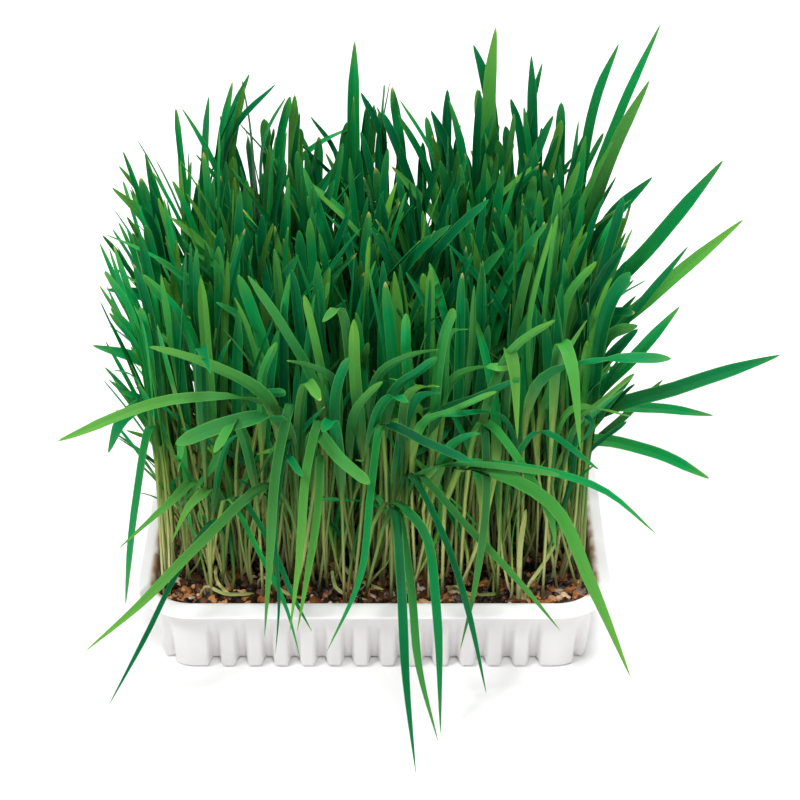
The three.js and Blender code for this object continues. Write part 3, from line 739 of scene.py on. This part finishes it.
def tuft_blades(column, row):
    draw = draws_from(1 + column + COLUMNS * row)
    centre_x = (column - (COLUMNS - 1) / 2) * CELL_X
    centre_y = FIELD_Y + (row - (ROWS - 1) / 2) * CELL_Y
    limit_x, limit_y = CELL_X / 2 - 3.4, CELL_Y / 2 - 3.4
    chance = np.random.default_rng(100 + column + 10 * row)
    blades = []
    for k in range(BLADES_PER_TUFT):
        spot = (5 * k + 3 * column + row) % 16
        u = ((spot % 4) - 1.5) * 6.4 + draw(-2.4, 2.4)
        v = (spot // 4 - 1.5) * 6 + draw(-2.4, 2.4)
        tip_u = max(-limit_x, min(limit_x, u + draw(-5, 5)))
        tip_v = max(-limit_y, min(limit_y, v + draw(-5, 5)))
        rise = 148 + 0.3 * (centre_y + v) + draw(-17, 17)
        bend = draw(1.3, 2.2)
        broad = 4.8 * draw(0.85, 1.15)
        face, twist = draw(-70, 70), draw(-0.7, 0.7)
        slope = chance.normal(0, (26, 12), 2)
        root, tip = (centre_x + u, centre_y + v), (centre_x + tip_u, centre_y + tip_v)
        path = leaning_path(*root, *tip, rise, bend, slope)
        rule = width_rule(0.42, 0.62, chance.uniform(0.04, 0.12))
        rings = laid_blade(path, rule, 1.5, broad, face, twist)
        blades.append((rings, chance.beta(1.2, 2.2)))
    return blades, centre_x, centre_y, chance


# %% Seedlings that fill the field, each one a stem with three leaves
SLOPE_LIMIT, LEAN_X, LEAN_Y, TIP_LIMIT_X, TIP_LIMIT_Y = 92, 38, 32, 108, 64
THIN_LEFT_OF = -38


def filling_blades(centre_x, centre_y, chance):
    blades = []
    for _ in range(SEEDLINGS_PER_TUFT):
        x = centre_x + chance.uniform(-CELL_X / 2, CELL_X / 2)
        y = centre_y + chance.uniform(-CELL_Y / 2, CELL_Y / 2)
        # Fewer stand near the front, so that the stems there show one by one
        if y < 0 and chance.uniform() > (y + 47) / 64:
            y += 30
        stem, bend = chance.uniform(1.0, 1.5), chance.uniform(1.8, 3.4)
        slope, kick = chance.normal(0, (44, 22), 2), chance.normal(0, 2.6, 2)
        slope[0] = np.clip(slope[0], -SLOPE_LIMIT - x, SLOPE_LIMIT - x)
        shade = min(1, chance.beta(1.1, 2.0) + max(0, -x - 40) / 75)
        lean = np.array([min(0.07 * x, 0.3 * x + 6), 0.04 * y]) + chance.normal(0, 12, 2)
        for share in (1.0, chance.uniform(0.6, 0.95), chance.uniform(0.4, 0.65)):
            rise = (150 + 0.3 * y + 0.3 * max(0, y - 12) + chance.uniform(-30, 14)) * share
            lean = lean + chance.normal(0, 13, 2) * (1.5 - share)
            tip_x = np.clip(x + np.clip(lean[0], -LEAN_X, LEAN_X), -TIP_LIMIT_X, TIP_LIMIT_X)
            tip_y = min(y + np.clip(lean[1], -LEAN_Y, LEAN_Y), TIP_LIMIT_Y)
            path = leaning_path(x, y, tip_x, tip_y, rise, bend, slope * share, kick)
            start, slender = (0.56, 0.62) if x < THIN_LEFT_OF else (0.44, 1)
            rule = width_rule(start, start + 0.2, chance.uniform(0.03, 0.11))
            broad = chance.uniform(3.1, 5.5) * slender * share ** 0.6
            face, twist = chance.normal(0, 36), chance.uniform(-1.2, 1.2)
            rings = laid_blade(path, rule, stem, broad, face, twist)
            blades.append((rings, np.clip(shade + chance.normal(0, 0.12), 0, 1)))
    return blades


# %% Lay the field
total = 0
for row in range(ROWS):
    for column in range(COLUMNS):
        blades, centre_x, centre_y, chance = tuft_blades(column, row)
        blades += filling_blades(centre_x, centre_y, chance)
        number = 1 + column + COLUMNS * row
        piece = blades_piece(f"wheat_tuft_{number:02d}", blades, chance, short_template)
        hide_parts(f"tuft_{number:02d}")
        total += len(blades)
print("field blades:", total)

# %% [markdown]
# ## Fringe of spilling blades
# Along the edges the seedlings have nothing to lean on. They fan outward, and the long
# ones arch over the rim and hang down its side with their folded upper face outward. The
# longest are placed one by one, since they give the stand its outline, and the rest
# follow from one rule for each side.

# %% Sides of the fringe, as in the solids
# A blade climbs by its rise, ends its reach further out and its fall below that height,
# and leans its sway along the side
FRINGES = [
    {"name": "fringe_front", "seed": 101, "count": 8,
     "x": (-80, 80), "y": (-52.6, -46.4), "out": (0, -1), "face": 180,
     "rise": (98, 150), "reach": (10, 52), "fall": (-6, 62), "sway": 26},
    {"name": "fringe_back", "seed": 102, "count": 20,
     "x": (-80, 80), "y": (51.2, 56), "out": (0, 1), "face": 0,
     "rise": (146, 176), "reach": (1, 9), "fall": (-12, -4), "sway": 6},
    {"name": "fringe_left", "seed": 103, "count": 9,
     "x": (-88.4, -83.6), "y": (-42, 47), "out": (-1, 0), "face": 40,
     "rise": (112, 156), "reach": (3, 20), "fall": (-14, 6), "sway": 8},
    {"name": "fringe_right", "seed": 104, "count": 9,
     "x": (83.6, 88.4), "y": (-42, 47), "out": (1, 0), "face": -40,
     "rise": (112, 156), "reach": (3, 20), "fall": (-14, 6), "sway": 8},
]

# %% The long blades: root, points on the way, tip, width and the way it faces
LONG_BLADES = {
    "fringe_front": [
        ((-38, -49), ((-32, -57, 129), (-38, -68, 105), (-41, -78, 69)), (-44, -82, 34), 5.0, 180),
        ((-32, -50), ((-33, -60, 114), (-39, -70, 78), (-38, -76, 48)), (-40, -79, 23), 2.4, 180),
        ((-22, -49), ((-21, -58, 122), (-26, -68, 105), (-29, -75, 72)), (-34, -78, 33), 4.6, 180),
        ((-62, -50), ((-58, -60, 86), (-46, -68, 66), (-36, -74, 45)), (-30, -77, 19), 2.6, 180),
        ((-58, -49), ((-54, -60, 87), (-42, -68, 72), (-32, -74, 47)), (-25, -76, 32), 2.8, 180),
        ((-24, -50), ((-21, -60, 107), (-22, -68, 86), (-26, -73, 61)), (-31, -77, 33), 4.0, 180),
        ((4, -49), ((3, -58, 120), (-1, -68, 93), (-5, -76, 60)), (-19, -80, 25), 3.8, 180),
        ((0, -49), ((8, -66, 86), (11, -98, 74), (13, -120, 42)), (17, -132, 4), 4.8, 180),
        ((6, -50), ((10, -68, 85), (15, -90, 65), (18, -104, 37)), (26, -112, 4), 4.2, 180),
        ((-3, -50), ((6, -62, 86), (20, -78, 83), (25, -95, 57)), (27, -107, 4), 4.8, 180),
        ((44, -49), ((44, -57, 118), (45, -66, 90), (41, -74, 54)), (35, -78, 23), 4.0, 180),
        ((6, -48), ((14, -60, 98), (27, -70, 78), (37, -78, 49)), (46, -86, 8), 3.4, 180),
        ((10, -50), ((16, -58, 97), (39, -66, 75), (61, -72, 51)), (76, -77, 33), 3.8, 180),
        ((24, -50), ((35, -60, 100), (69, -72, 93), (87, -80, 58)), (105, -84, 14), 5.6, 180),
        ((36, -49), ((44, -55, 119), (62, -62, 98), (71, -67, 81)), (73, -70, 68), 4.4, 180),
        ((20, -48), ((25, -58, 99), (56, -62, 103), (90, -66, 95)), (113, -70, 76), 4.0, 180),
        ((-36, -50), ((-41, -62, 94), (-69, -76, 75), (-92, -88, 55)), (-114, -98, 39), 5.2, 180),
        ((-58, -50), ((-64, -60, 76), (-78, -72, 60), (-92, -84, 35)), (-108, -92, 6), 2.8, 180),
        ((62, -50), ((66, -58, 140), (90, -60, 150)), (115, -62, 152), 5.8, 185),
        ((-36, -48), ((-41, -60, 132), (-60, -66, 150)), (-84, -72, 163), 6.6, 180),
        ((-33, -50), ((-37, -62, 124), (-57, -70, 127)), (-76, -76, 122), 7, 175),
        ((42, -50), ((46, -54, 130), (55, -57, 154)), (70, -60, 168), 4.2, 180),
        ((22, -50), ((26, -56, 123), (42, -60, 134)), (57, -64, 144), 4.4, 180),
        ((14, -50), ((19, -58, 119), (32, -64, 130)), (48, -68, 141), 4.2, 180),
        ((30, -49), ((31, -52, 136), (43, -55, 144)), (54, -58, 145), 4.4, 180),
        ((-2, -50), ((2, -54, 139), (14, -57, 150)), (26, -60, 155), 4, 180),
        ((4, -50), ((8, -56, 133), (18, -60, 145)), (25, -64, 154), 4.6, 180),
        ((10, -50), ((13, -58, 131), (18, -62, 139)), (26, -66, 142), 3.8, 180),
        ((-4, -50), ((2, -57, 125), (8, -62, 135)), (14, -68, 136), 4.2, 180),
        ((79, -48), ((81, -52, 116), (92, -54, 130)), (102, -56, 142), 2.8, 180),
        ((52, -50), ((57, -58, 104), (66, -62, 119)), (89, -66, 104), 2.8, 180),
        ((26, -50), ((29, -60, 108), (35, -64, 117)), (42, -68, 122), 4.4, 180),
        ((0, -50), ((4, -58, 119), (22, -66, 116)), (39, -72, 111), 4, 180),
        ((16, -50), ((19, -60, 98), (38, -64, 105)), (74, -70, 104), 3, 180),
        ((26, -49), ((28, -52, 131), (30, -56, 160)), (37, -60, 164), 3.4, 180),
        ((10, -49), ((15, -50, 117), (13, -52, 149)), (13, -53, 167), 4.4, 180),
        ((-10, -49), ((-5, -50, 112), (-7, -52, 141)), (-7, -54, 165), 5, 180),
        ((-4, -50), ((-8, -54, 120), (-3, -58, 132)), (4, -62, 142), 3.8, 180),
        ((-12, -50), ((-15, -54, 124), (-13, -58, 140)), (-9, -61, 152), 4.4, 180),
        ((-14, -49), ((-9, -50, 145), (-13, -53, 169)), (-19, -58, 166), 4, 180),
        ((-44, -49), ((-44, -50, 122), (-43, -52, 139)), (-37, -54, 155), 4, 180),
        ((-20, -48), ((-19, -49, 126), (-22, -51, 152)), (-26, -53, 175), 3.6, 180),
        ((-20, -49), ((-21, -50, 126), (-34, -53, 160)), (-47, -56, 185), 4.2, 180),
        ((-16, -50), ((-15, -53, 136), (-23, -57, 145)), (-33, -60, 150), 4, 180),
        ((-16, -50), ((-22, -60, 117), (-13, -66, 109)), (-1, -72, 101), 5.4, 180),
        ((-30, -49), ((-36, -56, 124), (-76, -64, 135)), (-122, -72, 121), 4.8, 180),
    ],
    "fringe_back": [
        ((-8, 54), ((-9, 56, 160), (-9, 57, 208)), (-8, 57, 234), 5.6, 20),
        ((54, 53), ((50, 56, 170), (48, 57, 212)), (50, 58, 240), 5.8, -10),
        ((44, 54), ((50, 58, 188), (46, 60, 216)), (41, 61, 231), 5.2, 15),
        ((66, 53), ((67, 56, 168), (66, 58, 204)), (65, 59, 227), 4.6, 0),
    ],
    "fringe_left": [
        ((-86, 42), ((-87, 42, 129), (-97, 42, 160)), (-110, 42, 175), 4.6, 30),
        ((-86, 46), ((-87, 48, 142), (-92, 49, 164)), (-96, 50, 185), 4.8, 20),
        ((-86, 30), ((-87, 30, 137), (-89, 28, 164)), (-92, 26, 184), 5, 15),
        ((-86, 20), ((-87, 18, 118), (-91, 16, 144)), (-99, 14, 168), 5.6, 25),
        ((-86, 10), ((-87, 8, 118), (-94, 6, 142)), (-110, 4, 147), 5.2, 35),
        ((-86, 0), ((-87, -4, 99), (-92, -6, 124)), (-101, -8, 150), 5, 25),
        ((-86, 26), ((-88, 26, 84), (-100, 26, 100)), (-121, 26, 108), 5.2, 40),
        ((-86, -22), ((-89, -30, 113), (-100, -36, 110)), (-108, -38, 94), 6.2, 35),
        ((-86, -34), ((-89, -44, 110), (-96, -52, 78)), (-103, -56, 31), 5, 40),
    ],
    "fringe_right": [
        ((86, 44), ((87, 46, 178), (92, 48, 214)), (100, 50, 236), 4.2, -15),
        ((86, 36), ((89, 40, 163), (101, 44, 207)), (116, 46, 246), 4, -15),
        ((86, 30), ((88, 34, 150), (99, 36, 196)), (112, 38, 225), 5.5, -10),
        ((86, 22), ((91, 24, 121), (117, 26, 158)), (143, 28, 194), 6.2, -20),
        ((86, 39), ((88, 37, 134), (99, 35, 164)), (115, 33, 184), 6, -25),
        ((86, 12), ((90, 12, 109), (116, 12, 140)), (151, 14, 174), 5.6, -30),
        ((86, 4), ((90, 2, 112), (107, 0, 139)), (127, -2, 170), 3.6, -15),
        ((86, -6), ((89, -10, 98), (107, -14, 126)), (123, -18, 151), 5, -20),
        ((86, -10), ((89, -12, 92), (127, -15, 112)), (165, -19, 129), 6, -35),
        ((86, 18), ((90, 20, 77), (119, 22, 79)), (147, 24, 74), 4.6, -50),
        ((86, 30), ((92, 30, 56), (121, 28, 53)), (148, 26, 40), 5.6, -50),
        ((86, -22), ((88, -18, 88), (95, -20, 105)), (106, -22, 122), 3.6, 0),
        ((86, 26), ((94, 30, 52), (110, 34, 68)), (126, 38, 84), 3.4, -20),
    ],
}


# %% A smooth path through points
def path_through(root, by, tip, kick):
    kick = np.clip(kick, root[0] - ROOT_LIMIT, root[0] + ROOT_LIMIT)
    points = np.array([(root[0], root[1], SOIL_TOP - SUNK), *by, tip], dtype=float)
    run = np.vstack([2 * points[0] - points[1], points, 2 * points[-1] - points[-2]])
    gaps = np.sqrt(np.linalg.norm(np.diff(run, axis=0), axis=1))
    knots = np.concatenate([[0], np.cumsum(gaps[1:-1])])

    def path(t):
        place = np.clip(t, 0, 1) * knots[-1]
        step = np.clip(np.searchsorted(knots, place, side="right") - 1, 0, len(gaps) - 3)
        before, now, after = (gaps[step + k][:, None] for k in range(3))
        f = (place - knots[step])[:, None] / now
        a, b, c, d = run[step], run[step + 1], run[step + 2], run[step + 3]
        start = ((b - a) / before - (c - a) / (before + now) + (c - b) / now) * now
        end = ((c - b) / now - (d - b) / (now + after) + (d - c) / after) * now
        curve = (3 * (c - b) - 2 * start - end) * f * f + (2 * (b - c) + start + end) * f ** 3
        foot = np.exp(-np.maximum(t, 0) / FOOT)[:, None]
        return b + start * f + curve - foot * np.array([kick, 0, 0])
    return path


# %% One long blade, which opens into a leaf sooner where it hangs
STEM, POINT, LOW_TIP, HANGING_FALL = 1.4, 0.16, 110, 12


def fringe_blade(out, root, by, tip, width, face, twist=0.0, stem=STEM, kick=0.0, point=POINT):
    start, full = (0.14, 0.4) if tip[2] < LOW_TIP else (0.28, 0.52)
    rule = width_rule(start, full, point)
    path = path_through(root, by, tip, kick)
    sunward = np.array([0.8 * out[0], 0.8 * out[1] - 0.8 * abs(out[0]), 0.6])
    return laid_blade(path, rule, stem, width, face, twist, LONG_PLACES, sunward)


# %% One blade that arches outward from a side
def arching_blade(fringe, root, arch, width, face, twist, stem=STEM, kick=0.0, point=POINT, shift=0.0):
    rise, reach, fall, sway = arch
    out_x, out_y = fringe["out"]

    def at(out, side, up):
        x = root[0] + out_x * out + out_y * side
        y = root[1] + out_y * out + out_x * side
        return (x, y, SOIL_TOP + up)

    by = [at(0.1 * reach, 0.1 * sway, 0.55 * rise), at(0.45 * reach, 0.5 * sway, 0.9 * rise)]
    if fall > HANGING_FALL:
        point += 0.2
        shoulder = at(0.28 * reach, 0.3 * sway, 0.87 * rise)
        by[1:] = [shoulder, at(0.66 * reach, 0.62 * sway, 0.9 * rise - 0.16 * fall)]
    # The shift moves the root and the tip along the side, but not the points between them
    root = (root[0] + shift * abs(out_y), root[1] + shift * abs(out_x))
    tip = at(reach, sway, rise - fall)
    return fringe_blade(fringe["out"], root, by, tip, width, face, twist, stem, kick, point)


# %% The blades that the solids hold too
# A long front blade with two points on its way stands, and one with three spills over
STANDING = {"back": 34, "point": (0.05, 0.1)}
SPILLING = {"back": 16, "point": (0.2, 0.32)}
ROOTS_ALONG_X, ROOTS_ALONG_Y = (-77, 77), (-39, 44)


def between(span, share):
    return span[0] + (span[1] - span[0]) * share


def fringe_blades(fringe, chance):
    draw = draws_from(fringe["seed"])
    blades = []
    for root, by, tip, width, face in LONG_BLADES[fringe["name"]]:
        point = POINT
        if fringe["name"] == "fringe_front":
            kind = STANDING if len(by) == 2 else SPILLING
            root = (root[0] + chance.normal(0, 5), root[1] + chance.uniform(0, kind["back"]))
            point = chance.uniform(*kind["point"])
            width *= 0.95 if kind is STANDING or width > 5.5 else 0.78
        kick = chance.normal(0, 2.5)
        rings = fringe_blade(fringe["out"], root, by, tip, width, face, kick=kick, point=point)
        blades.append((rings, chance.beta(1.2, 1.8)))
    for k in range(fringe["count"]):
        share = (k + draw(0.15, 0.85)) / fringe["count"]
        depth = draw(0.25, 0.75)
        if fringe["out"][0] == 0:
            root = (between(ROOTS_ALONG_X, share), between(fringe["y"], depth))
        else:
            root = (between(fringe["x"], depth), between(ROOTS_ALONG_Y, share))
        rise, reach, fall = (draw(*fringe[key]) for key in ("rise", "reach", "fall"))
        sway = draw(-fringe["sway"], fringe["sway"])
        width = draw(4.6, 6.2)
        face = fringe["face"] + draw(-40, 40)
        twist = draw(-0.4, 0.4)
        width *= 0.85 if fringe["name"] in ("fringe_front", "fringe_left") else 1
        arch, point = (rise, reach, fall, sway), chance.uniform(0.03, 0.11)
        rings = arching_blade(fringe, root, arch, width, face, twist, point=point)
        blades.append((rings, chance.beta(1.2, 2.2)))
    return blades


# %% More seedlings of each fringe
MORE = {
    "fringe_front": [
        {"count": 14, "width": (3, 4.8), "back": 36,
         "rise": (86, 150), "reach": (-14, 14), "fall": (-30, 0), "sway": 20},
        {"count": 22, "width": (2.4, 4.6), "back": 34,
         "rise": (60, 110), "reach": (8, 34), "fall": (-10, 36), "sway": 30},
        {"count": 36, "width": (1.3, 2.6), "back": 38,
         "rise": (34, 92), "reach": (-8, 14), "fall": (-16, 2), "sway": 44},
    ],
    "fringe_back": [
        {"count": 38, "width": (3.2, 5), "back": 0,
         "rise": (110, 176), "reach": (-8, 10), "fall": (-14, -4), "sway": 14},
        {"count": 26, "width": (2.8, 4.4), "back": 0,
         "rise": (164, 196), "reach": (-8, 8), "fall": (-12, 2), "sway": 16},
    ],
    "fringe_left": [
        {"count": 40, "width": (1.9, 3.6), "back": 0,
         "rise": (84, 150), "reach": (-3, 20), "fall": (-16, 6), "sway": 12},
    ],
    "fringe_right": [
        {"count": 26, "width": (3, 4.8), "back": 0,
         "rise": (84, 150), "reach": (-3, 22), "fall": (-16, 6), "sway": 12},
    ],
}
FRINGE_LIMIT_X, FRINGE_LIMIT_Y, TIP_PAST_LIMIT = 86, 50, 6


def more_blades(fringe, chance):
    blades = []
    for kind in MORE[fringe["name"]]:
        for _ in range(kind["count"]):
            x, y = chance.uniform(*fringe["x"]), chance.uniform(*fringe["y"])
            root = (x, y + chance.uniform(0, kind["back"]))
            place, limit = (y, FRINGE_LIMIT_Y) if fringe["out"][0] else (x, FRINGE_LIMIT_X)
            shift = np.clip(place + chance.normal(0, 9), -limit, limit) - place
            rise, reach, fall = (chance.uniform(*kind[key]) for key in ("rise", "reach", "fall"))
            limit += TIP_PAST_LIMIT
            sway = chance.uniform(-kind["sway"], kind["sway"])
            sway = np.clip(sway, -limit - abs(place), limit - abs(place))
            sway *= 1 if place * sum(fringe["out"]) > 0 else -1
            arch, width = (rise, reach, fall, sway), chance.uniform(*kind["width"])
            face, twist = fringe["face"] + chance.uniform(-70, 70), chance.uniform(-0.8, 0.8)
            stem, kick = chance.uniform(1.0, 1.4), chance.normal(0, 3)
            point = chance.uniform(0.03, 0.14)
            rings = arching_blade(fringe, root, arch, width, face, twist, stem, kick, point, shift)
            pale = kind["width"][0] < 2
            blades.append((rings, chance.uniform(0.55, 1) if pale else chance.beta(1.2, 2.0)))
    return blades


# %% Lay the fringes
for fringe in FRINGES:
    chance = np.random.default_rng(fringe["seed"])
    blades = fringe_blades(fringe, chance) + more_blades(fringe, chance)
    lime_share = FRONT_LIME_SHARE if fringe["name"] == "fringe_front" else LIME_SHARE
    piece = blades_piece("wheat_" + fringe["name"], blades, chance, long_template, lime_share)
    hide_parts(fringe["name"])
    print(fringe["name"], "blades:", len(blades))

# %% [markdown]
# ## Stems that have fallen over
# A few seedlings never stood up. Their pale, leafless stems bend along the granules near
# the front, or lean out over them. They grow from the front strip of roots.

# %% Pale bent stems
FALLEN = [
    ((-20, -20), ((-17, -24, 36), (-12, -34, 33), (-2, -42, 31)), (4, -44, 30), 1.7),
    ((-17, -30), ((-18, -34, 34), (-16, -44, 31), (-9, -49, 30)), (-3, -51, 30), 1.6),
    ((8, -30), ((10, -33, 33), (14, -36, 32), (18, -34, 31)), (22, -33, 31), 1.8),
    ((60, -52), ((60, -52, 40), (60, -51, 56), (61, -50, 66)), (62, -49, 74), 2.2),
    ((62, -52), ((64, -52, 38), (68, -50, 44), (72, -48, 50)), (75, -46, 55), 1.6),
    ((-74, -46), ((-70, -49, 35), (-62, -51, 33), (-56, -50, 32)), (-50, -48, 31), 1.5),
    ((-50, -38), ((-47, -42, 35), (-40, -47, 33), (-34, -50, 31)), (-28, -51, 31), 1.4),
    ((30, -44), ((33, -47, 34), (40, -50, 32), (47, -50, 32)), (53, -48, 31), 1.5),
    ((44, -34), ((40, -38, 35), (36, -44, 33), (35, -49, 31)), (37, -52, 31), 1.4),
    ((-66, -30), ((-67, -34, 35), (-66, -42, 33), (-61, -48, 31)), (-58, -51, 31), 1.4),
]
chance = np.random.default_rng(77)
blades = []
for root, by, tip, stem in FALLEN:
    # A stem with no leaf keeps the colours of the lowest quarter of a blade
    rings, progress = fringe_blade((0, -1), root, by, tip, stem, 0, stem=stem, point=0.1)
    blades.append(((rings, 0.24 * progress), chance.uniform(0.3, 1)))
blades_piece("fallen_stems", blades, chance, long_template)
print("fallen stems:", len(blades))
